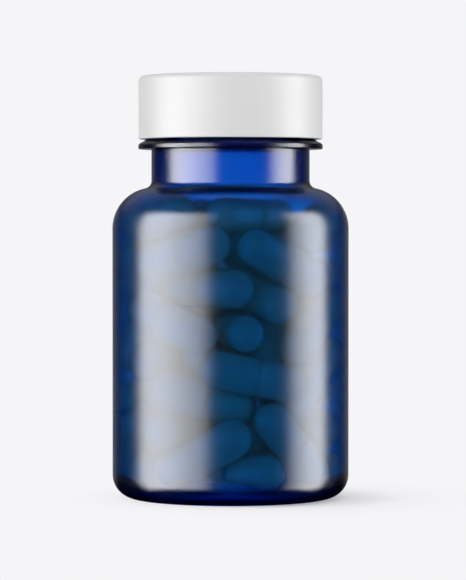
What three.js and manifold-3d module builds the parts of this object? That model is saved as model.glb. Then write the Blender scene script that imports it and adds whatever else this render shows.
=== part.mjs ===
// A pill vial: a blow-moulded bottle with a threaded neck, a screw cap with its sealing liner,
// and a loose fill of two-piece hard capsules. Millimetres, +Z up, origin at the centre of the base.
import * as THREE from "three";
import { mergeVertices } from "three/addons/utils/BufferGeometryUtils.js";
import Module from "manifold-3d";

const wasm = await Module();
wasm.setup();

const SEGMENTS = 48; // round the bottle, the cap and the liner
const MM_PER_INCH = 25.4;
const TINY = 1e-9;

const bottle = {
  radius: 26.2,
  wall: 1.3,
  heel: 5.2, // rounding between the wall and the base
  inner_heel: 3.9,
  floor: 2.4, // height of the inner floor
  push_up: 1.1, // how far the middle of the base is raised
  push_up_radius: 17.2,
  push_up_edge: 2, // width of the band in which it starts to bend down
  push_up_rim: 0.77, // height at the outside of that band
  ring_radius: 18.4, // inner edge of the ring that it stands on
  shoulder: 9.1,
  shoulder_start: 59.8, // where the straight wall ends
  neck_radius: 17.55,
  neck_fillet: 1.7,
  neck_bore: 15.55,
  bore_edge: 3.2, // rounding where the neck opens into the body
  lip_top: 91.0,
  lip_edge: 0.7,
};

// The ring under the thread, with a sloping top.
const bead = { radius: 20.45, bottom: 77.4, rim: 1.05, top: 80.15, edge: 0.15 };

const thread = {
  pitch: MM_PER_INCH / 6,
  turns: 1.5,
  start: 82.3, // height of the centre line where the neck's thread begins
  crest_radius: 18.75,
  root_width: 2.1,
  crest_width: 1.0,
  run_out: 0.12, // share of its length that each end takes to rise
  steps: 42,
  sunk: 0.4, // how deep its root lies in the wall, so that the two join
  end_depth: 0.1, // how deep its crest starts in the wall
};

const cap = {
  radius: 20.4,
  bottom: 79.6,
  top: 93.6,
  edge: 1.2, // rounding between the side and the top
  inner_edge: 0.3,
  outer_edge: 0.2,
  plate: 1.35,
  bore: 19.05,
  thread_start: 81.35, // its thread runs half a pitch below the neck's
  thread_turns: 1.35,
  thread_crest: 17.92,
  thread_root_width: 1.7,
  thread_crest_width: 0.8,
  thread_steps: 38,
  bead_radius: 18.45, // the ring that keeps the liner in
  bead_height: 0.7,
  bead_gap: 0.2, // between that ring and the liner
};

const liner = { radius: 18.8, bottom: 91.1, top: 92.15, edge: 0.15 };

// Two-piece hard capsules, size 00: the cap slides over a slightly thinner body.
const capsule = {
  radius: 4.265,
  body_radius: 4.09,
  length: 23.3,
  cap_length: 11.74,
  lip: 0.12,
  segments: 10,
  dome_rings: 2,
};

const fill = {
  count: 55,
  gap: 0.24, // free space that neighbours keep
  seed: 91,
  passes: 5200,
  settled_passes: 900, // the last ones, with nothing sinking
  sink: 0.012, // how far a pass lets each end drop
  size_at_start: 0.55,
  full_size_at: 0.5, // the share of the passes after which capsules have their full size
  front_limit: -4, // loose capsules start behind this, and behind the ones placed at the front
  placed_ease: 0.001, // how readily a placed capsule gives way, against 1 for a loose one
  settled_ease: 0.05, // the same in the settled passes
  start_radius: 20,
  start_bottom: 6,
  start_height: 57.8,
  start_tilt: 0.7, // how steeply they may lie at first, against 1 for any way round
  front_curve: 1 / 40,
};

// Capsules that lie at the front, where they are seen: the centres of the two round ends of each.
const seen_at_the_front = [
  [[-12, -16.6, 7.5], [1, -20.4, 13.3]],
  [[7, -17.3, 6.8], [-5.6, -9.8, 6.8]],
  [[9.3, -18.2, 16.5], [17.4, -10.8, 7]],
  [[1.5, -14.8, 21], [-12.9, -15.5, 24.4]],
  [[-14.8, -14.1, 15.8], [-6, -2.5, 17]],
  [[-1.7, -20.4, 29.6], [11.5, -17, 24.1]],
  [[-7.6, -19, 36.2], [-17.8, -10.2, 41]],
  [[4.2, -20.1, 37.1], [0.6, -6.2, 36.8]],
  [[14.8, -14.2, 33.4], [19.5, -3.5, 42]],
  [[9.7, -18, 43.6], [1.5, -6.2, 46.5]],
  [[0.6, -19.5, 46.9], [-10.3, -9.6, 46]],
  [[5.4, -19.7, 54.7], [16.2, -12.6, 48.2]],
  [[-3.9, -20.1, 56.3], [-16.4, -12.3, 52]],
  [[-1.2, -13.6, 62.9], [9.3, -3.9, 63]],
  [[-11, -13, 63.1], [-19.3, -1.5, 60.4]],
];

function material(colour, roughness, options = {}) {
  return new THREE.MeshStandardMaterial({ color: colour, roughness, metalness: 0, ...options });
}

const materials = {
  bottle: material(0x0b3fa8, 0.28, { transparent: true, opacity: 0.55 }),
  cap: material(0xf1f1ef, 0.45),
  liner: material(0xe9e7df, 0.7),
  capsule: material(0xd9d4c0, 0.3),
};

function solid_of(geometry) {
  const bare = geometry.index ? geometry.toNonIndexed() : geometry.clone();
  bare.deleteAttribute("normal");
  bare.deleteAttribute("uv");
  const merged = mergeVertices(bare, 1e-4);
  return new wasm.Manifold(
    new wasm.Mesh({
      numProp: 3,
      vertProperties: merged.attributes.position.array,
      triVerts: new Uint32Array(merged.index.array),
    }),
  );
}

function geometry_of(solid) {
  const mesh = solid.getMesh();
  return new THREE.BufferGeometry()
    .setAttribute("position", new THREE.BufferAttribute(mesh.vertProperties, mesh.numProp))
    .setIndex(new THREE.BufferAttribute(mesh.triVerts, 1));
}

// Turns a profile of [radius, height] points about the Z axis.
function turned(profile, segments = SEGMENTS) {
  const points = profile.map(([radius, height]) => new THREE.Vector2(radius, height));
  return new THREE.LatheGeometry(points, segments).rotateX(Math.PI / 2);
}

// Points along an arc in the profile plane, with angles in degrees from outwards, up positive.
function arc([radius, height], size, from, to, steps) {
  return Array.from({ length: steps + 1 }, (_, i) => {
    const angle = THREE.MathUtils.degToRad(from + ((to - from) * i) / steps);
    return [radius + size * Math.cos(angle), height + size * Math.sin(angle)];
  });
}

// A thread ridge: a straight bar bent into a helix, rising from the wall at both ends.
function thread_ridge({ wall, crest, root_width, crest_width, start, turns, steps }) {
  const outwards = Math.sign(crest - wall);
  const root = wall - outwards * thread.sunk;
  const stand = Math.abs(crest - wall) + thread.end_depth;
  const bar = new THREE.BoxGeometry(1, 1, 1, steps, 1, 1);
  const place = bar.attributes.position;
  for (let i = 0; i < place.count; i++) {
    const along = place.getX(i) + 0.5;
    const rise = Math.min(1, along / thread.run_out, (1 - along) / thread.run_out);
    const at_crest = place.getY(i) > 0;
    const top = wall + outwards * (rise * stand - thread.end_depth);
    const radius = at_crest ? top : root;
    const width = at_crest ? crest_width : root_width;
    const angle = along * turns * 2 * Math.PI;
    const height = start + along * turns * thread.pitch - outwards * place.getZ(i) * width;
    place.setXYZ(i, radius * Math.cos(angle), radius * Math.sin(angle), height);
  }
  return bar;
}

// The fillet between a neck wall and the shoulder, inside or outside the bottle: it touches both,
// so its centre is a known distance from the shoulder's. Gives its centre and where they meet.
function neck_fillet(wall, fillet, shoulder) {
  const beyond = wall + fillet - (bottle.radius - bottle.shoulder);
  const above = Math.sqrt((shoulder + fillet) ** 2 - beyond ** 2);
  const meeting = THREE.MathUtils.radToDeg(Math.atan2(above, beyond));
  return { centre: [wall + fillet, bottle.shoulder_start + above], meeting };
}

function bottle_geometry() {
  const b = bottle;
  const shoulder_centre = [b.radius - b.shoulder, b.shoulder_start];
  const outer = neck_fillet(b.neck_radius, b.neck_fillet, b.shoulder);
  const inner_radius = b.radius - b.wall;
  const inner_shoulder = b.shoulder - b.wall;
  const inner = neck_fillet(b.neck_bore, b.bore_edge, inner_shoulder);
  const profile = [
    [0, b.push_up],
    [b.push_up_radius - b.push_up_edge, b.push_up],
    [b.push_up_radius, b.push_up_rim],
    [b.ring_radius, 0],
    ...arc([b.radius - b.heel, b.heel], b.heel, -90, 0, 6),
    ...arc(shoulder_centre, b.shoulder, 0, outer.meeting, 7),
    ...arc(outer.centre, b.neck_fillet, outer.meeting - 180, -180, 3).slice(1),
    [b.neck_radius, bead.bottom],
    [bead.radius - bead.edge, bead.bottom],
    [bead.radius, bead.bottom + bead.edge],
    [bead.radius, bead.bottom + bead.rim],
    [b.neck_radius, bead.top],
    ...arc([b.neck_radius - b.lip_edge, b.lip_top - b.lip_edge], b.lip_edge, 0, 90, 3),
    ...arc([b.neck_bore + b.lip_edge, b.lip_top - b.lip_edge], b.lip_edge, 90, 180, 3),
    ...arc(inner.centre, b.bore_edge, 180, 180 + inner.meeting, 4),
    ...arc(shoulder_centre, inner_shoulder, inner.meeting, 0, 6).slice(1),
    ...arc([inner_radius - b.inner_heel, b.floor + b.inner_heel], b.inner_heel, 0, -90, 5),
    [0, b.floor],
  ];
  const ridge = thread_ridge({
    wall: b.neck_radius,
    crest: thread.crest_radius,
    root_width: thread.root_width,
    crest_width: thread.crest_width,
    start: thread.start,
    turns: thread.turns,
    steps: thread.steps,
  });
  return geometry_of(solid_of(turned(profile)).add(solid_of(ridge)));
}

function cap_geometry() {
  const inside_top = cap.top - cap.plate;
  const bead_top = liner.bottom - cap.bead_gap;
  const profile = [
    [0, inside_top],
    [cap.bore, inside_top],
    [cap.bore, bead_top],
    [cap.bead_radius, bead_top - cap.bead_height / 2],
    [cap.bore, bead_top - cap.bead_height],
    [cap.bore, cap.bottom + cap.inner_edge],
    [cap.bore + cap.inner_edge, cap.bottom],
    [cap.radius - cap.outer_edge, cap.bottom],
    [cap.radius, cap.bottom + cap.outer_edge],
    ...arc([cap.radius - cap.edge, cap.top - cap.edge], cap.edge, 0, 90, 4),
    [0, cap.top],
  ];
  const ridge = thread_ridge({
    wall: cap.bore,
    crest: cap.thread_crest,
    root_width: cap.thread_root_width,
    crest_width: cap.thread_crest_width,
    start: 0,
    turns: cap.thread_turns,
    steps: cap.thread_steps,
  });
  // The same helix as the neck's, half a pitch lower, from where the cap's thread starts.
  const half_pitch_below = thread.start - thread.pitch / 2;
  const lead_in = (cap.thread_start - half_pitch_below) / thread.pitch;
  ridge.rotateZ(lead_in * 2 * Math.PI).translate(0, 0, cap.thread_start);
  return geometry_of(solid_of(turned(profile)).add(solid_of(ridge)));
}

function liner_geometry() {
  return turned([
    [0, liner.bottom],
    [liner.radius - liner.edge, liner.bottom],
    [liner.radius, liner.bottom + liner.edge],
    [liner.radius, liner.top - liner.edge],
    [liner.radius - liner.edge, liner.top],
    [0, liner.top],
  ]);
}

function capsule_geometry() {
  const c = capsule;
  const half = c.length / 2;
  const seam = half - c.cap_length;
  const profile = [
    ...arc([0, c.body_radius - half], c.body_radius, -90, 0, c.dome_rings),
    [c.body_radius, seam - c.lip],
    [c.radius, seam],
    ...arc([0, half - c.radius], c.radius, 0, 90, c.dome_rings),
  ];
  profile[0][0] = 0;
  profile[profile.length - 1][0] = 0;
  return turned(profile, c.segments);
}

// A small seeded generator, so that the fill is the same each time.
function random_numbers(seed) {
  const step = { times: 1664525, plus: 1013904223, wrap: 2 ** 32 };
  let state = seed;
  return () => {
    state = (state * step.times + step.plus) % step.wrap;
    return state / step.wrap;
  };
}

// Where along two rods, from 0 to 1, they come closest.
function closest_shares(a, b) {
  const u = a.tip.clone().sub(a.tail);
  const v = b.tip.clone().sub(b.tail);
  const w = a.tail.clone().sub(b.tail);
  const [uu, uv, vv, uw, vw] = [u.dot(u), u.dot(v), v.dot(v), u.dot(w), v.dot(w)];
  const spread = uu * vv - uv * uv; // nothing for parallel rods
  let s = spread > TINY ? THREE.MathUtils.clamp((uv * vw - vv * uw) / spread, 0, 1) : 0.5;
  const t = THREE.MathUtils.clamp((uv * s + vw) / vv, 0, 1);
  s = THREE.MathUtils.clamp((uv * t - uw) / uu, 0, 1);
  return [s, t];
}

// Pushes two rods apart until their surfaces are a gap apart.
function part_rods(a, b, reach) {
  if (a.tail.distanceTo(b.tail) > 2 * capsule.length) {
    return;
  }
  const [s, t] = closest_shares(a, b);
  const from = a.tail.clone().lerp(a.tip, s);
  const push = b.tail.clone().lerp(b.tip, t).sub(from);
  const distance = push.length();
  if (distance >= reach || distance < TINY) {
    return;
  }
  push.multiplyScalar((reach - distance) / distance);
  const share_a = a.ease * ((1 - s) ** 2 + s ** 2);
  const share_b = b.ease * ((1 - t) ** 2 + t ** 2);
  const each = 1 / (share_a + share_b);
  a.tail.addScaledVector(push, -each * a.ease * (1 - s));
  a.tip.addScaledVector(push, -each * a.ease * s);
  b.tail.addScaledVector(push, each * b.ease * (1 - t));
  b.tip.addScaledVector(push, each * b.ease * t);
}

// Keeps the centre of a rod's end where a ball of that size fits inside the bottle.
function keep_inside(end, size) {
  const wall = bottle.radius - bottle.wall - size;
  const turn_radius = bottle.radius - bottle.shoulder;
  const turn_reach = bottle.shoulder - bottle.wall - size;
  end.z = Math.max(end.z, bottle.floor + size);
  const round = Math.hypot(end.x, end.y) || TINY;
  let [radius, height] = [round, end.z];
  if (height <= bottle.shoulder_start) {
    radius = Math.min(radius, wall);
  } else if (radius > turn_radius) {
    const out = Math.hypot(radius - turn_radius, height - bottle.shoulder_start);
    const back = Math.min(1, turn_reach / out);
    radius = turn_radius + (radius - turn_radius) * back;
    height = bottle.shoulder_start + (height - bottle.shoulder_start) * back;
  } else {
    height = Math.min(height, bottle.shoulder_start + turn_reach);
  }
  end.set((end.x * radius) / round, (end.y * radius) / round, height);
}

function keep_length(rod, length) {
  const along = rod.tip.clone().sub(rod.tail);
  const change = (along.length() - length) / 2;
  along.normalize();
  rod.tail.addScaledVector(along, change);
  rod.tip.addScaledVector(along, -change);
}

// A rod stands for a capsule by the centres of its two round ends. Its ease is how readily it
// gives way: 1 for a loose one.
function rod_between(middle, direction, length, ease) {
  const half = direction.clone().normalize().multiplyScalar(length / 2);
  return { tail: middle.clone().sub(half), tip: middle.clone().add(half), ease };
}

function placed_rod([tail, tip], length) {
  const [from, to] = [tail, tip].map((point) => new THREE.Vector3(...point));
  const middle = from.clone().lerp(to, 0.5);
  return rod_between(middle, to.sub(from), length, fill.placed_ease);
}

function loose_rod(random, length) {
  const angle = random() * 2 * Math.PI;
  const radius = fill.start_radius * Math.sqrt(random());
  const middle = new THREE.Vector3(radius * Math.cos(angle), radius * Math.sin(angle), 0);
  middle.y = Math.max(middle.y, fill.front_limit - middle.x ** 2 * fill.front_curve);
  middle.z = fill.start_bottom + random() * fill.start_height;
  const [x, y, z] = [random() - 0.5, random() - 0.5, fill.start_tilt * (random() - 0.5)];
  return rod_between(middle, new THREE.Vector3(x, y, z), length, 1);
}

// Lets the capsules grow to their size, sink and push each other apart until they lie still.
function settled_rods() {
  const random = random_numbers(fill.seed);
  const length = capsule.length - 2 * capsule.radius;
  const size = capsule.radius + fill.gap / 2;
  const rods = seen_at_the_front.map((ends) => placed_rod(ends, length));
  while (rods.length < fill.count) {
    rods.push(loose_rod(random, length));
  }
  const placed = rods.slice(0, seen_at_the_front.length);
  for (let pass = 0; pass < fill.passes; pass++) {
    const grown = Math.min(1, pass / (fill.passes * fill.full_size_at));
    const scale = fill.size_at_start + (1 - fill.size_at_start) * grown;
    const scale_of = (rod) => (placed.includes(rod) ? 1 : scale);
    const settling = fill.passes - pass > fill.settled_passes;
    for (const rod of rods) {
      const drop = settling ? fill.sink * rod.ease : 0;
      rod.tail.z -= drop;
      rod.tip.z -= drop;
    }
    rods.forEach((a, i) => {
      for (const b of rods.slice(i + 1)) {
        part_rods(a, b, size * (scale_of(a) + scale_of(b)));
      }
    });
    for (const rod of rods) {
      keep_length(rod, length * scale_of(rod));
      keep_inside(rod.tail, size);
      keep_inside(rod.tip, size);
    }
    for (const rod of settling ? [] : placed) {
      rod.ease = fill.settled_ease;
    }
  }
  return rods;
}

function named_mesh(name, geometry, look) {
  const mesh = new THREE.Mesh(geometry, look);
  mesh.name = name;
  return mesh;
}

function capsule_meshes() {
  const shape = capsule_geometry();
  const up = new THREE.Vector3(0, 0, 1);
  return settled_rods().map((rod, i) => {
    const name = `capsule_${String(i + 1).padStart(2, "0")}`;
    const mesh = named_mesh(name, shape, materials.capsule);
    mesh.position.copy(rod.tail).lerp(rod.tip, 0.5);
    mesh.quaternion.setFromUnitVectors(up, rod.tip.clone().sub(rod.tail).normalize());
    return mesh;
  });
}

const vial = new THREE.Group();
vial.add(
  named_mesh("bottle", bottle_geometry(), materials.bottle),
  named_mesh("screw_cap", cap_geometry(), materials.cap),
  named_mesh("cap_liner", liner_geometry(), materials.liner),
  ...capsule_meshes(),
);

export default vial;
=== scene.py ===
import math

import bpy
import numpy as np
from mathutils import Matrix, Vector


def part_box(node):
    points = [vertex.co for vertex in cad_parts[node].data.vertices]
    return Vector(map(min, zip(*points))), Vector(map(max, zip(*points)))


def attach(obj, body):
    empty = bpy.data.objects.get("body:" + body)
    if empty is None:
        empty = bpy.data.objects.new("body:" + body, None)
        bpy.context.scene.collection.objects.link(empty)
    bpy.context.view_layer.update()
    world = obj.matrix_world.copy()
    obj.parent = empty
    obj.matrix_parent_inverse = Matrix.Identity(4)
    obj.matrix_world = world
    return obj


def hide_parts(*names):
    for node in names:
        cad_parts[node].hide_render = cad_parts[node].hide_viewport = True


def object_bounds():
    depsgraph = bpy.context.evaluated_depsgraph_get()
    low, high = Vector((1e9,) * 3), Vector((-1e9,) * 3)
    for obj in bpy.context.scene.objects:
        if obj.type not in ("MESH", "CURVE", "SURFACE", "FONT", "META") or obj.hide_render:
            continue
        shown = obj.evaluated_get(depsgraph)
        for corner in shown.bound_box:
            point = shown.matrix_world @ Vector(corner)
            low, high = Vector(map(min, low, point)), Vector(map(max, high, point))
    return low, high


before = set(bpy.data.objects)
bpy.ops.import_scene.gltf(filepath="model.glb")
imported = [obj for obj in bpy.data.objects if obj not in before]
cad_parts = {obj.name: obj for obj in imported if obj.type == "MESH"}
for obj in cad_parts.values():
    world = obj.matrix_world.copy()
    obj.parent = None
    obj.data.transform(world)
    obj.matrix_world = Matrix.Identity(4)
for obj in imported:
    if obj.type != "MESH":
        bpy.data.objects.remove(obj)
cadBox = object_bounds()
mm = 0.001  # sizes in the dictionaries are in millimetres, Blender's are in metres


# nodes, for shaders and for Geometry Nodes

def addNode(tree, kind, settings=None, inputs=None):
    node = tree.nodes.new(kind)
    for key, value in (settings or {}).items():
        if key == "stops":
            while len(node.color_ramp.elements) < len(value):
                node.color_ramp.elements.new(0.5)
            for element, (place, colour) in zip(node.color_ramp.elements, value):
                element.position = place
                element.color = colour
        else:
            setattr(node, key, value)
    for key, value in (inputs or {}).items():
        if isinstance(value, bpy.types.NodeSocket):
            tree.links.new(value, node.inputs[key])
        else:
            node.inputs[key].default_value = value
    return node


class Wire:
    # one output socket of a shader node; sums and products of wires add Math nodes

    def __init__(self, finish, socket):
        self.finish = finish
        self.socket = socket

    def maths(self, operation, *others):
        settings = {"operation": operation}
        return self.finish.node("ShaderNodeMath", settings, dict(enumerate((self, *others))))["Value"]

    def __add__(self, other):
        return self.maths("ADD", other)

    def __mul__(self, other):
        return self.maths("MULTIPLY", other)

    def __sub__(self, other):
        return self.maths("SUBTRACT", other)

    def __rsub__(self, other):
        return (self * -1.0) + other

    def __truediv__(self, other):
        return self.maths("DIVIDE", other)

    def __gt__(self, other):
        return self.maths("GREATER_THAN", other)

    def __lt__(self, other):
        return self.maths("LESS_THAN", other)

    __radd__ = __add__
    __rmul__ = __mul__


class Placed:
    # a node that has been added, whose outputs are read by name

    def __init__(self, finish, node):
        self.finish = finish
        self.node = node

    def __getitem__(self, name):
        return Wire(self.finish, self.node.outputs[name])


class Finish:
    # a material, or the world, while its nodes are added

    def __init__(self, name, owner=None):
        self.owner = owner or bpy.data.materials.new(name)
        self.owner.use_nodes = True
        self.tree = self.owner.node_tree
        self.tree.nodes.clear()

    def node(self, kind, settings=None, inputs=None):
        given = {key: value.socket if isinstance(value, Wire) else value
                 for key, value in (inputs or {}).items()}
        return Placed(self, addNode(self.tree, kind, settings, given))

    def place(self):
        return self.node("ShaderNodeTexCoord")["Object"]

    def parts(self, vector):
        return self.node("ShaderNodeSeparateXYZ", None, {"Vector": vector})

    def noise(self, place, scale, detail):
        inputs = {"Vector": place, "Scale": scale, "Detail": detail}
        return self.node("ShaderNodeTexNoise", None, inputs)["Fac"]

    def attribute(self, name):
        return self.node("ShaderNodeAttribute", {"attribute_name": name})["Fac"]

    def ramp(self, pairs, factor):
        # pairs are (place, value), and every stop is grey
        stops = [(place, (value, value, value, 1)) for place, value in pairs]
        return self.node("ShaderNodeValToRGB", {"stops": stops}, {"Fac": factor})["Color"]

    def blend(self, factor, colourA, colourB):
        settings = {"data_type": "RGBA", "blend_type": "MIX"}
        return self.node("ShaderNodeMix", settings, {0: factor, 6: colourA, 7: colourB})[2]

    def bump(self, height):
        # height in metres
        return self.node("ShaderNodeBump", None, {"Height": height, "Distance": 1.0})["Normal"]

    def surface(self, shader, volume=None):
        inputs = {"Surface": shader}
        if volume is not None:
            inputs["Volume"] = volume
        self.node("ShaderNodeOutputMaterial", None, inputs)
        return self.owner


# meshes of revolution, which every moulded piece here is

def arc(centre, radius, fromDegrees, toDegrees, steps):
    angles = np.radians(np.linspace(fromDegrees, toDegrees, steps + 1))
    return [(centre[0] + radius * math.cos(a), centre[1] + radius * math.sin(a)) for a in angles]


def straight(start, end, steps):
    return [tuple(p) for p in np.linspace(start, end, steps + 1)]


def withoutRepeats(rows):
    kept = [rows[0]]
    for row in rows[1:]:
        if math.dist(row, kept[-1]) > 1e-4:
            kept.append(row)
    return kept


def turned(name, rows, columns, shift=None, marks=None):
    # rows are (radius, height) in mm from the axis back to the axis, and share is how far along them
    # a row is; shift(angle, radius, height, share) moves a point in or out, and marks are point
    # attributes, each with a rule that gives its value from share
    rows = withoutRepeats(rows)
    points, rings, values = [], [], {key: [] for key in marks or {}}
    for index, (radius, height) in enumerate(rows):
        share = index / (len(rows) - 1)
        count = 1 if radius < 1e-6 else columns
        rings.append(range(len(points), len(points) + count))
        for column in range(count):
            angle = 2 * math.pi * column / columns
            reach = radius + (shift(angle, radius, height, share) if shift else 0)
            points.append((reach * math.cos(angle) * mm, reach * math.sin(angle) * mm, height * mm))
            for key, rule in (marks or {}).items():
                values[key].append(rule(share))
    faces = []
    for lower, upper in zip(rings, rings[1:]):
        for column in range(columns):
            following = (column + 1) % columns
            corners = [lower[column % len(lower)], lower[following % len(lower)],
                       upper[following % len(upper)], upper[column % len(upper)]]
            faces.append(list(dict.fromkeys(corners)))
    mesh = bpy.data.meshes.new(name)
    mesh.from_pydata(points, [], faces)
    for key, numbers in values.items():
        mesh.attributes.new(key, "FLOAT", "POINT").data.foreach_set("value", numbers)
    mesh.shade_smooth()
    mesh.update()
    piece = bpy.data.objects.new(name, mesh)
    bpy.context.scene.collection.objects.link(piece)
    return piece


def clamp(value, low=0.0, high=1.0):
    return max(low, min(high, value))


def smooth(value):
    value = clamp(value)
    return value * value * (3 - 2 * value)


hub = 2.0  # radius of the first ring round the axis of a flat disc
threadPitch = 25.4 / 6  # six threads to the inch


def threadHeight(angle, height, wind):
    # how far the ridge of a thread stands out of its wall at a place, from 0 to 1
    best = 0.0
    for turn in range(math.ceil(wind["turns"]) + 1):
        along = angle - wind["lead"] + 2 * math.pi * turn
        share = along / (wind["turns"] * 2 * math.pi)
        if not 0 < share < 1:
            continue
        away = abs(height - wind["start"] - along / (2 * math.pi) * threadPitch)
        flank = smooth((wind["root"] - away) / (wind["root"] - wind["crest"]))
        runOut = smooth(min(share, 1 - share) / wind["runOut"])
        best = max(best, flank * runOut)
    return best


# the bottle

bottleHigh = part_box("bottle")[1]

bottle = {
    "radius": bottleHigh.x / mm,
    "wall": 1.3,
    "heel": 5.2,
    "innerHeel": 3.9,
    "floor": 2.4,
    "pushUp": 1.1,
    "pushUpRadius": 17.2,
    "pushUpBend": 3.4,  # radius of its rounded edge
    "pushUpBendRun": 3.0,  # how far in from there it starts
    "pushUpBendEnd": 62,  # degrees
    "ringRadius": 18.4,  # inner edge of the ring that it stands on
    "ringEdge": 0.6,
    "ringEdgeStart": 215,  # degrees
    "shoulder": 9.1,
    "shoulderStart": 59.8,
    "neck": 17.55,
    "neckFillet": 1.7,
    "bore": 15.55,
    "boreEdge": 3.2,
    "lip": bottleHigh.z / mm,
    "lipEdge": 0.7,
    "bead": 20.45,
    "beadBottom": 77.4,
    "beadFillet": 0.3,  # under it, against the neck
    "beadRim": 1.05,
    "beadTop": 80.15,
    "beadEdge": 0.22,
    "slopeStart": (0.16, 0.1),  # where the bead's upper side starts, in from its rim and up
    "slopeEnd": (0.12, 0.07),  # and where it ends, out from the neck and down from its top
    "threadGap": 0.1,  # plain neck between the bead and the stretch that carries the thread
    "columns": 240,
}
neckThread = {
    "turns": 1.5,
    "start": 82.3,
    "lead": 0.0,
    "root": 1.05,  # half of the ridge's width at the wall
    "crest": 0.45,  # half of its width at the top
    "stand": 1.2,
    "runOut": 0.12,  # share of its length over which each end fades out
}


def tangentArc(centre, radius, reach, fillet):
    # a fillet that ends upright at reach and touches the arc round centre: its own centre's height,
    # and the angle in degrees at which the two meet
    height = centre[1] + math.sqrt((radius + fillet) ** 2 - (reach + fillet - centre[0]) ** 2)
    return height, math.degrees(math.atan2(height - centre[1], reach + fillet - centre[0]))


def outerRows(b):
    # from the middle of the base round the outside to the top of the lip
    bendAt = b["pushUpRadius"] - b["pushUpBendRun"]
    rows = [(0, b["pushUp"])] + straight((hub, b["pushUp"]), (bendAt, b["pushUp"]), 4)
    rows += arc((bendAt, b["pushUp"] - b["pushUpBend"]), b["pushUpBend"], 90, b["pushUpBendEnd"], 5)
    rows += arc((b["ringRadius"] + b["ringEdge"], b["ringEdge"]), b["ringEdge"], b["ringEdgeStart"], 270, 4)
    rows += arc((b["radius"] - b["heel"], b["heel"]), b["heel"], -90, 0, 20)
    rows += straight((b["radius"], b["heel"]), (b["radius"], b["shoulderStart"]), 24)
    centre = (b["radius"] - b["shoulder"], b["shoulderStart"])
    height, meeting = tangentArc(centre, b["shoulder"], b["neck"], b["neckFillet"])
    rows += arc(centre, b["shoulder"], 0, meeting, 24)
    rows += arc((b["neck"] + b["neckFillet"], height), b["neckFillet"], meeting - 180, -180, 8)
    edge, fillet, rim = b["beadEdge"], b["beadFillet"], b["beadBottom"] + b["beadRim"]
    slope = math.degrees(math.atan2(b["beadTop"] - rim, b["bead"] - b["neck"]))
    rows += straight((b["neck"], height), (b["neck"], b["beadBottom"] - fillet), 8)
    rows += arc((b["neck"] + fillet, b["beadBottom"] - fillet), fillet, 180, 90, 4)
    rows += arc((b["bead"] - edge, b["beadBottom"] + edge), edge, -90, 0, 5)
    rows += arc((b["bead"] - edge, rim - edge), edge, 0, 90 - slope, 4)
    (inward, up), (outward, down) = b["slopeStart"], b["slopeEnd"]
    rows += straight((b["bead"] - inward, rim + up), (b["neck"] + outward, b["beadTop"] - down), 6)
    lipAt = b["lip"] - b["lipEdge"]
    rows += straight((b["neck"], b["beadTop"] + b["threadGap"]), (b["neck"], lipAt), 84)
    return rows + arc((b["neck"] - b["lipEdge"], lipAt), b["lipEdge"], 0, 90, 8)


def innerRows(b):
    # from the top of the lip down the bore and the wall to the middle of the floor
    lipAt = b["lip"] - b["lipEdge"]
    centre, radius = (b["radius"] - b["shoulder"], b["shoulderStart"]), b["shoulder"] - b["wall"]
    height, meeting = tangentArc(centre, radius, b["bore"], b["boreEdge"])
    rows = arc((b["bore"] + b["lipEdge"], lipAt), b["lipEdge"], 90, 180, 8)
    rows += straight((b["bore"], lipAt), (b["bore"], height), 16)
    rows += arc((b["bore"] + b["boreEdge"], height), b["boreEdge"], 180, 180 + meeting, 12)
    rows += arc(centre, radius, meeting, 0, 22)
    wallAt, low = b["radius"] - b["wall"], b["floor"] + b["innerHeel"]
    rows += straight((wallAt, centre[1]), (wallAt, low), 24)
    rows += arc((wallAt - b["innerHeel"], low), b["innerHeel"], 0, -90, 16)
    return rows + straight((wallAt - b["innerHeel"], b["floor"]), (hub, b["floor"]), 5) + [(0, b["floor"])]


def makeBottle():
    outside, inside = outerRows(bottle), innerRows(bottle)
    turnOver = len(withoutRepeats(outside)) / (len(withoutRepeats(outside + inside)) - 1)
    threadFrom = bottle["beadTop"] + bottle["threadGap"]
    threadTo = bottle["lip"] - bottle["lipEdge"]

    def shift(angle, radius, height, share):
        if share > turnOver or not threadFrom < height < threadTo:
            return 0.0
        return neckThread["stand"] * threadHeight(angle, height, neckThread)

    marks = {"inside": lambda share: 1.0 if share >= turnOver else 0.0}
    return turned("bottleShell", outside + inside, bottle["columns"], shift, marks)


bottleLook = {
    "ior": 1.5,
    "outerRoughness": 0.2,
    "innerRoughness": 0.05,
    # what a millimetre of the plastic takes out of red, green and blue light
    "absorbed": (3.1, 0.72, 0.235),
    "clouding": 0.05,  # how much the outer roughness varies
    "cloudingScale": 90.0,
    "orangePeel": 0.000004,
    "peelScale": 700.0,
    "partingLine": 0.00002,
    "partingWidth": 0.00012,
}


def bottlePlastic():
    look = bottleLook
    finish = Finish("cobaltPlastic")
    place = finish.place()
    inside = finish.attribute("inside")
    clouding = finish.noise(place, look["cloudingScale"], 3.0) - 0.5
    outer = look["outerRoughness"] + clouding * look["clouding"]
    roughness = outer * (1 - inside) + inside * look["innerRoughness"]
    across = finish.parts(place)["Y"].maths("ABSOLUTE")
    ridge = (1 - across / look["partingWidth"]).maths("MAXIMUM", 0.0)
    peel = finish.noise(place, look["peelScale"], 2.0)
    height = peel * look["orangePeel"] + ridge * (1 - inside) * look["partingLine"]
    density = max(look["absorbed"]) * 1.05 / mm  # a little over the most, so that no channel is black
    colour = [1 - a / mm / density for a in look["absorbed"]] + [1]
    body = finish.node("ShaderNodeBsdfPrincipled", None, {
        "Base Color": (1, 1, 1, 1),
        "Roughness": roughness,
        "IOR": look["ior"],
        "Transmission Weight": 1.0,
        "Normal": finish.bump(height),
    })
    stain = finish.node("ShaderNodeVolumeAbsorption", None, {"Color": colour, "Density": density})
    return finish.surface(body["BSDF"], stain["Volume"])


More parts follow.
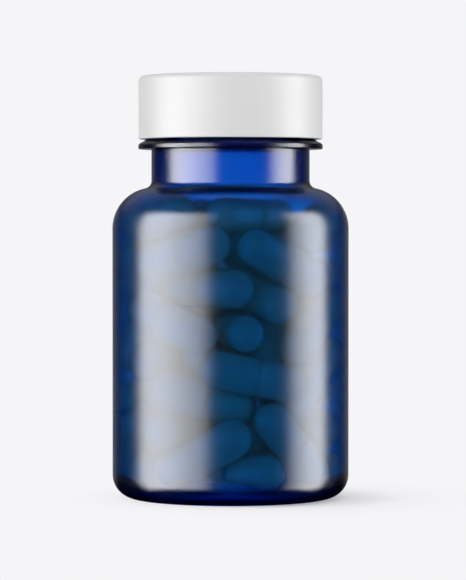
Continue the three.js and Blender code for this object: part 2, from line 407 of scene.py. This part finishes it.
bottlePiece = makeBottle()
bottlePiece.data.materials.append(bottlePlastic())
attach(bottlePiece, "bottle")
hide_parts("bottle")
print("bottle:", len(bottlePiece.data.polygons), "faces")


# the screw cap

capLow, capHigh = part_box("screw_cap")
linerLow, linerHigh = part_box("cap_liner")

cap = {
    "radius": capHigh.x / mm,
    "bottom": capLow.z / mm,
    "top": capHigh.z / mm,
    "edge": 1.17,
    "plate": 1.35,
    "bore": 19.05,
    "innerEdge": 0.4,
    "lowerEdge": 0.28,
    "linerBead": 18.45,  # the ring that keeps the liner in
    "linerBeadHalf": 0.35,
    "linerBeadGap": 0.2,  # between that ring and the liner
    "linerBeadNose": (0.1, 0.08),  # how far its nose is rounded, outwards and upwards
    "linerBeadStep": 0.1,  # plain wall under it
    "threadGap": 1.0,  # from the liner down to where the thread may start
    "columns": 240,
}
capThread = {
    "turns": 1.35,
    "start": 81.35,
    "root": 0.85,
    "crest": 0.36,
    "stand": -1.13,  # inwards
    "runOut": 0.12,
}
# half a pitch under the neck's thread
capThread["lead"] = (capThread["start"] - neckThread["start"]) / threadPitch * 2 * math.pi + math.pi


def capRows(c):
    # the inside from the middle down to the lower edge, then up the outside to the middle
    insideTop, corner, lower = c["top"] - c["plate"], c["innerEdge"], c["lowerEdge"]
    rows = [(0, insideTop)] + straight((hub, insideTop), (c["bore"] - corner, insideTop), 5)
    rows += arc((c["bore"] - corner, insideTop - corner), corner, 90, 0, 4)[1:]
    beadTop = linerLow.z / mm - c["linerBeadGap"]
    beadMiddle, beadBottom = beadTop - c["linerBeadHalf"], beadTop - 2 * c["linerBeadHalf"]
    out, up = c["linerBeadNose"]
    rows += [(c["bore"], beadTop), (c["linerBead"] + out, beadMiddle + up), (c["linerBead"], beadMiddle)]
    rows += [(c["linerBead"] + out, beadMiddle - up), (c["bore"], beadBottom)]
    rows += straight((c["bore"], beadBottom - c["linerBeadStep"]), (c["bore"], c["bottom"] + lower), 84)
    rows += arc((c["bore"] + lower, c["bottom"] + lower), lower, 180, 270, 6)
    rows += arc((c["radius"] - lower, c["bottom"] + lower), lower, -90, 0, 8)
    rows += straight((c["radius"], c["bottom"] + lower), (c["radius"], c["top"] - c["edge"]), 12)
    rows += arc((c["radius"] - c["edge"], c["top"] - c["edge"]), c["edge"], 0, 90, 14)
    return rows + straight((c["radius"] - c["edge"], c["top"]), (hub, c["top"]), 6) + [(0, c["top"])]


def makeCap():
    threadTop = linerLow.z / mm - cap["threadGap"]

    def shift(angle, radius, height, share):
        if abs(radius - cap["bore"]) > 0.01 or height > threadTop:
            return 0.0
        return capThread["stand"] * threadHeight(angle % (2 * math.pi), height, capThread)

    return turned("capShell", capRows(cap), cap["columns"], shift)


capLook = {
    "colour": (0.76, 0.76, 0.746, 1),
    "shade": (0.735, 0.735, 0.722, 1),
    "patchScale": 140.0,
    "roughness": 0.42,
    "roughnessVaries": 0.08,
    "grain": 0.000006,
    "grainScale": 2600.0,
}


def capPlastic():
    look = capLook
    finish = Finish("whiteCapPlastic")
    place = finish.place()
    patches = finish.noise(place, look["patchScale"], 3.0)
    grain = finish.noise(place, look["grainScale"], 2.0)
    body = finish.node("ShaderNodeBsdfPrincipled", None, {
        "Base Color": finish.blend(patches, look["colour"], look["shade"]),
        "Roughness": look["roughness"] + (patches - 0.5) * look["roughnessVaries"],
        "IOR": 1.5,
        "Specular IOR Level": 0.35,
        "Normal": finish.bump(grain * look["grain"]),
    })
    return finish.surface(body["BSDF"])


capPiece = makeCap()
capPiece.data.materials.append(capPlastic())
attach(capPiece, "cap")
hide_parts("screw_cap")
print("cap:", len(capPiece.data.polygons), "faces")


# the liner under the cap's top

liner = {
    "radius": linerHigh.x / mm,
    "bottom": linerLow.z / mm,
    "top": linerHigh.z / mm,
    "edge": 0.2,
    "lipMark": 16.55,  # where the bottle's lip presses into it
    "lipMarkWidth": 1.1,
    "lipMarkDepth": 0.05,
    "columns": 160,
}


def linerRows(c):
    # from the middle of the underside round the edge to the middle of the top
    inner, edge = c["lipMark"] - c["lipMarkWidth"] / 2, c["edge"]
    rows = [(0, c["bottom"])] + straight((hub, c["bottom"]), (inner, c["bottom"]), 4)
    for share in np.linspace(0, 1, 9):
        rise = c["lipMarkDepth"] * math.sin(math.pi * share)
        rows.append((inner + c["lipMarkWidth"] * share, c["bottom"] + rise))
    rows += arc((c["radius"] - edge, c["bottom"] + edge), edge, -90, 0, 4)
    rows += arc((c["radius"] - edge, c["top"] - edge), edge, 0, 90, 4)
    return rows + straight((c["radius"] - edge, c["top"]), (hub, c["top"]), 4) + [(0, c["top"])]


linerLook = {
    "facing": 0.16,  # thickness of the smooth film on the underside
    "film": (0.84, 0.84, 0.82, 1),
    "filmShade": (0.8, 0.8, 0.78, 1),
    "foam": (0.8, 0.77, 0.7, 1),
    "foamShade": (0.72, 0.69, 0.61, 1),
    "tintScale": 300.0,
    "tintBump": 0.000008,
    "cellScale": 5200.0,
    "cellBump": 0.00006,
    "filmRoughness": 0.35,
    "foamRoughness": 0.8,
}


def linerFoam():
    look = linerLook
    finish = Finish("foamLiner")
    place = finish.place()
    foam = finish.parts(place)["Z"] > linerLow.z + look["facing"] * mm
    cellPlace = {"Vector": place, "Scale": look["cellScale"]}
    cells = finish.node("ShaderNodeTexVoronoi", None, cellPlace)["Distance"]
    tint = finish.noise(place, look["tintScale"], 4.0)
    film = finish.blend(tint, look["film"], look["filmShade"])
    pith = finish.blend(tint, look["foam"], look["foamShade"])
    body = finish.node("ShaderNodeBsdfPrincipled", None, {
        "Base Color": finish.blend(foam, film, pith),
        "Roughness": look["filmRoughness"] + foam * (look["foamRoughness"] - look["filmRoughness"]),
        "Normal": finish.bump(cells * foam * look["cellBump"] + tint * look["tintBump"]),
    })
    return finish.surface(body["BSDF"])


linerPiece = turned("linerDisc", linerRows(liner), liner["columns"])
linerPiece.data.materials.append(linerFoam())
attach(linerPiece, "liner")
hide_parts("cap_liner")
print("liner:", len(linerPiece.data.polygons), "faces")


# the capsules

capsule = {
    "length": 23.3,
    "capRadius": 4.265,
    "bodyRadius": 4.09,
    "capLength": 11.74,
    "rim": 0.09,  # rounding of the cap's open edge
    "lockRing": 0.05,  # depth of the ring that snaps the two halves together
    "lockRingFrom": 3.4,  # its distance from the cap's open edge
    "lockRingWidth": 0.9,
    "underCap": 0.02,  # how far the body's wall goes on under the cap's edge
    "bodyRow": 2.0,  # a row of faces on the body beside that edge
    "columns": 28,
    "roll": 2 * math.pi,
    "seed": 5,
}


def capsuleRows(c):
    half = c["length"] / 2
    seam = half - c["capLength"]
    rows = arc((0, c["bodyRadius"] - half), c["bodyRadius"], -90, 0, 9)
    rows += [(c["bodyRadius"], seam - c["bodyRow"]), (c["bodyRadius"], seam + c["underCap"])]
    rows += arc((c["capRadius"] - c["rim"], seam + c["rim"]), c["rim"], -90, 0, 3)
    ringFrom, ringTo = seam + c["lockRingFrom"], seam + c["lockRingFrom"] + c["lockRingWidth"]
    for share in np.linspace(0, 1, 5):
        dip = c["lockRing"] * math.sin(math.pi * share) ** 2
        rows.append((c["capRadius"] - dip, ringFrom + (ringTo - ringFrom) * share))
    rows += arc((0, half - c["capRadius"]), c["capRadius"], 0, 90, 9)
    return [(0, rows[0][1])] + rows[1:-1] + [(0, rows[-1][1])]  # both poles exactly on the axis


def capsuleLies(node):
    # the middle of a capsule and the direction from its body's end to its cap's end
    points = np.array([v.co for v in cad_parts[node].data.vertices], float)
    first = points[np.argmax(np.linalg.norm(points - points.mean(0), axis=1))]
    second = points[np.argmax(np.linalg.norm(points - first, axis=1))]
    axis = (second - first) / np.linalg.norm(second - first)
    middle = (first + second) / 2
    along = (points - middle) @ axis
    away = np.linalg.norm(points - middle - np.outer(along, axis), axis=1)
    sideA, sideB = away[along < 0].max(), away[along > 0].max()
    return middle, axis if sideB > sideA else -axis


def capsuleTree():
    tree = bpy.data.node_groups.new("layCapsules", "GeometryNodeTree")
    face = tree.interface
    face.new_socket("Geometry", in_out="INPUT", socket_type="NodeSocketGeometry")
    face.new_socket("Capsule", in_out="INPUT", socket_type="NodeSocketObject")
    face.new_socket("Roll", in_out="INPUT", socket_type="NodeSocketFloat")
    face.new_socket("Seed", in_out="INPUT", socket_type="NodeSocketInt")
    face.new_socket("Material", in_out="INPUT", socket_type="NodeSocketMaterial")
    face.new_socket("Geometry", in_out="OUTPUT", socket_type="NodeSocketGeometry")

    def add(kind, settings=None, inputs=None):
        return addNode(tree, kind, settings, inputs)

    given = add("NodeGroupInput").outputs
    lies = add("GeometryNodeInputNamedAttribute", {"data_type": "FLOAT_VECTOR"}, {"Name": "lies"})
    align = add("FunctionNodeAlignRotationToVector", {"axis": "Z"}, {"Vector": lies.outputs["Attribute"]})
    roll = add("FunctionNodeRandomValue", {"data_type": "FLOAT"},
               {"Max": given["Roll"], "Seed": given["Seed"]})
    turn = add("FunctionNodeAxisAngleToRotation", None,
               {"Axis": (0, 0, 1), "Angle": roll.outputs["Value"]})
    spin = add("FunctionNodeRotateRotation", {"rotation_space": "LOCAL"},
               {"Rotation": align.outputs[0], "Rotate By": turn.outputs[0]})
    shape = add("GeometryNodeObjectInfo", None, {"Object": given["Capsule"], "As Instance": True})
    laid = add("GeometryNodeInstanceOnPoints", None,
               {"Points": given["Geometry"], "Instance": shape.outputs["Geometry"],
                "Rotation": spin.outputs[0]})
    tone = add("FunctionNodeRandomValue", {"data_type": "FLOAT"}, {"Seed": given["Seed"]})
    toned = add("GeometryNodeStoreNamedAttribute", {"data_type": "FLOAT", "domain": "INSTANCE"},
                {"Geometry": laid.outputs[0], "Name": "tone", "Value": tone.outputs["Value"]})
    real = add("GeometryNodeRealizeInstances", None, {"Geometry": toned.outputs[0]})
    dressed = add("GeometryNodeSetMaterial", None,
                  {"Geometry": real.outputs[0], "Material": given["Material"]})
    add("NodeGroupOutput", None, {"Geometry": dressed.outputs[0]})
    return tree


capsuleLook = {
    "colour": (0.76, 0.68, 0.47, 1),
    "paler": (0.82, 0.75, 0.55, 1),
    "roughness": 0.22,
    "roughnessVaries": 0.1,
    "mottleScale": 420.0,
    "mottleBump": 0.00002,
}


def gelatin():
    look = capsuleLook
    finish = Finish("gelatinShell")
    tone = finish.attribute("tone")
    mottle = finish.noise(finish.place(), look["mottleScale"], 4.0)
    body = finish.node("ShaderNodeBsdfPrincipled", None, {
        "Base Color": finish.blend(tone * 0.5 + mottle * 0.5, look["colour"], look["paler"]),
        "Roughness": look["roughness"] + (mottle - 0.5) * look["roughnessVaries"],
        "IOR": 1.52,
        "Normal": finish.bump(mottle * look["mottleBump"]),
    })
    return finish.surface(body["BSDF"])


def makeCapsules():
    names = sorted(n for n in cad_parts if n.startswith("capsule_"))
    lies = [capsuleLies(n) for n in names]
    template = turned("capsuleTemplate", capsuleRows(capsule), capsule["columns"])
    points = bpy.data.meshes.new("capsulePoints")
    points.from_pydata([tuple(middle) for middle, axis in lies], [], [])
    numbers = np.array([axis for middle, axis in lies], np.float32).ravel()
    points.attributes.new("lies", "FLOAT_VECTOR", "POINT").data.foreach_set("vector", numbers)
    carrier = bpy.data.objects.new("capsuleCarrier", points)
    bpy.context.scene.collection.objects.link(carrier)
    tree = capsuleTree()
    modifier = carrier.modifiers.new("layCapsules", "NODES")
    modifier.node_group = tree
    values = {"Capsule": template, "Roll": capsule["roll"], "Seed": capsule["seed"],
              "Material": gelatin()}
    for item in tree.interface.items_tree:
        if item.in_out == "INPUT" and item.name in values:
            modifier[item.identifier] = values[item.name]
    bpy.context.view_layer.update()
    graph = bpy.context.evaluated_depsgraph_get()
    mesh = bpy.data.meshes.new_from_object(carrier.evaluated_get(graph))
    mesh.name = "capsuleFill"
    piece = bpy.data.objects.new("capsuleFill", mesh)
    bpy.context.scene.collection.objects.link(piece)
    for spare in (carrier, template):
        bpy.data.objects.remove(spare)
    return piece, names


capsulePiece, capsuleNames = makeCapsules()
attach(capsulePiece, "bottle")
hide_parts(*capsuleNames)
print("capsules:", len(capsuleNames), "with", len(capsulePiece.data.polygons), "faces")


# the camera

view = {
    "distance": 0.6869,
    "height": 0.06218,
    "aside": 0.00055,
    "down": 1.337,  # degrees
    "lens": 192.0,
}

camera = bpy.data.objects.new("camera", bpy.data.cameras.new("camera"))
camera.location = (view["aside"], -view["distance"], cadBox[0][2] + view["height"])
camera.rotation_euler = (math.radians(90 - view["down"]), 0, 0)
camera.data.lens = view["lens"]
camera.data.sensor_width = 36.0
camera.data.clip_start = 0.01
camera.data.dof.use_dof = False
bpy.context.scene.collection.objects.link(camera)
bpy.context.scene.camera = camera


# floor, daylight and soft panels

studio = {
    "ambient": (0.913, 0.913, 0.93, 1),
    "floorRadius": 1.6,
    "floorGap": 0.00002,  # it lies this far under the bottle, so that the two don't flicker
    "floorShadow": 0.62,  # how much of the floor's light is lost in full shade
    # painted shadow reach: the floor glows evenly except near this point, a little right of the axis, where
    # it takes real shadow from the light; how far and how strongly that shadow shows is set by the ramp
    # below, not by the light
    "shadowMiddle": (0.012, 0.0, 0.0),
    # (distance from there in tenths of a metre, share of full shade)
    "shadowReach": [(0.19, 1.0), (0.23, 0.7), (0.28, 0.36), (0.36, 0.2), (0.5, 0.0)],
    "panelDistance": 1.0,
    "panelMiddle": 0.045,
    "panelSteps": 72,
    "panelFade": 4.5,  # degrees over which a panel's edges fade
}
# azimuth from the camera's side in degrees, brightness there, and the lowest and highest elevation
leftPanel = [(-108, 0.0, -36, 26), (-103, 0.6, -36, 28), (-98, 3.6, -35, 29.5), (-92, 9.4, -34, 31.5),
             (-84, 11.3, -33, 33.2), (-72, 12.4, -32, 35.2), (-62, 11.5, -32, 36.5), (-50, 9.4, -32, 38),
             (-38, 7.3, -32, 39.5), (-31, 6.0, -32, 40), (-25, 4.2, -32, 40), (-18, 0.4, -32, 40),
             (-16, 0.0, -32, 40)]
rightPanel = [(54, 0.0, -32, 37), (57, 1.0, -32, 37), (62, 4.4, -32, 36.8), (70, 7.2, -32, 35.8),
              (79, 9.9, -33, 34.2), (92, 11.0, -34, 31.5), (100, 7.2, -35, 29.5), (107, 1.0, -36, 28),
              (110, 0.0, -36, 27)]


def cardBehind(lowest, highest, *side):
    # side gives degrees from straight behind and the brightness there, and both sides are alike
    rows = [(180 - away, shine, lowest, highest) for away, shine in side]
    return rows + [(180 + away, shine, lowest, highest) for away, shine in side[-2::-1]]


backCard = cardBehind(-12, 12, (48, 0.0), (40, 0.05), (32, 0.12), (20, 0.2), (0, 0.22))
upperCard = cardBehind(16, 80, (70, 0.0), (55, 0.1), (34, 0.24), (0, 0.28))

softbox = {
    "brightness": 1.65,
    # (half turns away from straight behind, share of the brightness), then the same from
    # straight down at 0 to straight up at 1
    "across": [(0.0, 1.0), (0.008, 0.95), (0.018, 0.8), (0.027, 0.68), (0.038, 0.4), (0.055, 0.22),
               (0.2, 0.18), (1.0, 0.15)],
    "along": [(0.0, 0.3), (0.4, 0.5), (0.48, 1.0), (1.0, 1.0)],
}


def panelGlow():
    # seen only by gloss, so that the panels draw highlights and the ambient light does the rest
    finish = Finish("panelGlow")
    path = finish.node("ShaderNodeLightPath")
    # full on the outside of a piece, weaker on what lies behind several walls of clear plastic
    clearOf = (path["Transmission Depth"] < 0.5) + (path["Transmission Depth"] > 3.5) * 0.4
    seen = (path["Diffuse Depth"] < 0.5) * (path["Glossy Depth"] > 0.5) * clearOf
    light = finish.node("ShaderNodeEmission", None, {"Strength": finish.attribute("glow")})
    clear = finish.node("ShaderNodeBsdfTransparent")
    either = finish.node("ShaderNodeMixShader", None, {0: seen, 1: clear["BSDF"], 2: light["Emission"]})
    material = finish.surface(either["Shader"])
    material.cycles.emission_sampling = "NONE"
    return material


def addPanel(name, rows, material):
    places, brightness, lowest, highest = zip(*rows)
    distance, fade = studio["panelDistance"], studio["panelFade"]
    points, glow, faces = [], [], []
    for azimuth in np.linspace(places[0], places[-1], studio["panelSteps"]):
        shine = np.interp(azimuth, places, brightness)
        low, high = np.interp(azimuth, places, lowest), np.interp(azimuth, places, highest)
        x, y = distance * math.sin(math.radians(azimuth)), -distance * math.cos(math.radians(azimuth))
        for level, share in ((low - fade, 0), (low + fade, 1), (high - fade, 1), (high + fade, 0)):
            points.append((x, y, studio["panelMiddle"] + distance * math.tan(math.radians(level))))
            glow.append(shine * share)
    for step in range(studio["panelSteps"] - 1):
        for level in range(3):
            corner = 4 * step + level
            faces.append((corner, corner + 1, corner + 5, corner + 4))
    mesh = bpy.data.meshes.new(name)
    mesh.from_pydata(points, [], faces)
    mesh.attributes.new("glow", "FLOAT", "POINT").data.foreach_set("value", glow)
    mesh.materials.append(material)
    panel = bpy.data.objects.new(name, mesh)
    bpy.context.scene.collection.objects.link(panel)
    panel.visible_camera = False
    panel.visible_diffuse = False
    panel.visible_shadow = False


def addFloor():
    floor = turned("floor", [(0, 0)] + straight((20, 0), (studio["floorRadius"] / mm, 0), 20), 96)
    floor.location.z = cadBox[0][2] - studio["floorGap"]
    finish = Finish("paleFloor")
    ends = {0: finish.place(), 1: studio["shadowMiddle"]}
    away = finish.node("ShaderNodeVectorMath", {"operation": "DISTANCE"}, ends)["Value"]
    # partly painted shadow: the darkening near the bottle is real shadow, but where it shows and how strong
    # it is are painted by this ramp of distance from shadowMiddle
    shade = finish.ramp(studio["shadowReach"], away * 10)
    diffuse = finish.node("ShaderNodeBsdfDiffuse", None, {"Color": (1, 1, 1, 1)})
    glow = finish.node("ShaderNodeEmission", None, {"Color": studio["ambient"], "Strength": 1.0})
    mixed = {0: shade * studio["floorShadow"], 1: glow["Emission"], 2: diffuse["BSDF"]}
    floor.data.materials.append(finish.surface(finish.node("ShaderNodeMixShader", None, mixed)["Shader"]))
    floor.visible_glossy = False
    floor.visible_transmission = False


def addDaylight():
    # even light for every matt surface, and a softbox behind the bottle that only clear plastic shows
    world = bpy.data.worlds.new("daylight")
    bpy.context.scene.world = world
    finish = Finish("daylight", world)
    path = finish.node("ShaderNodeLightPath")
    axes = finish.parts(finish.node("ShaderNodeTexCoord")["Generated"])
    turn = axes["X"].maths("ARCTAN2", axes["Y"]).maths("ABSOLUTE") / math.pi
    across = finish.ramp(softbox["across"], turn)
    along = finish.ramp(softbox["along"], axes["Z"] * 0.5 + 0.5)
    through = path["Is Transmission Ray"] * (path["Diffuse Depth"] < 0.5)
    strength = (1 - through) + through * (across * along * softbox["brightness"])
    light = finish.node("ShaderNodeBackground", None, {"Color": studio["ambient"], "Strength": strength})
    finish.node("ShaderNodeOutputWorld", None, {"Surface": light["Background"]})
    world.cycles_visibility.glossy = False


addFloor()
addDaylight()
glowing = panelGlow()
for panelName, panelRows in (("panelLeft", leftPanel), ("panelRight", rightPanel),
                             ("panelBack", backCard), ("panelAbove", upperCard)):
    addPanel(panelName, panelRows, glowing)
bpy.context.scene.view_settings.view_transform = "Standard"
print("studio ready")
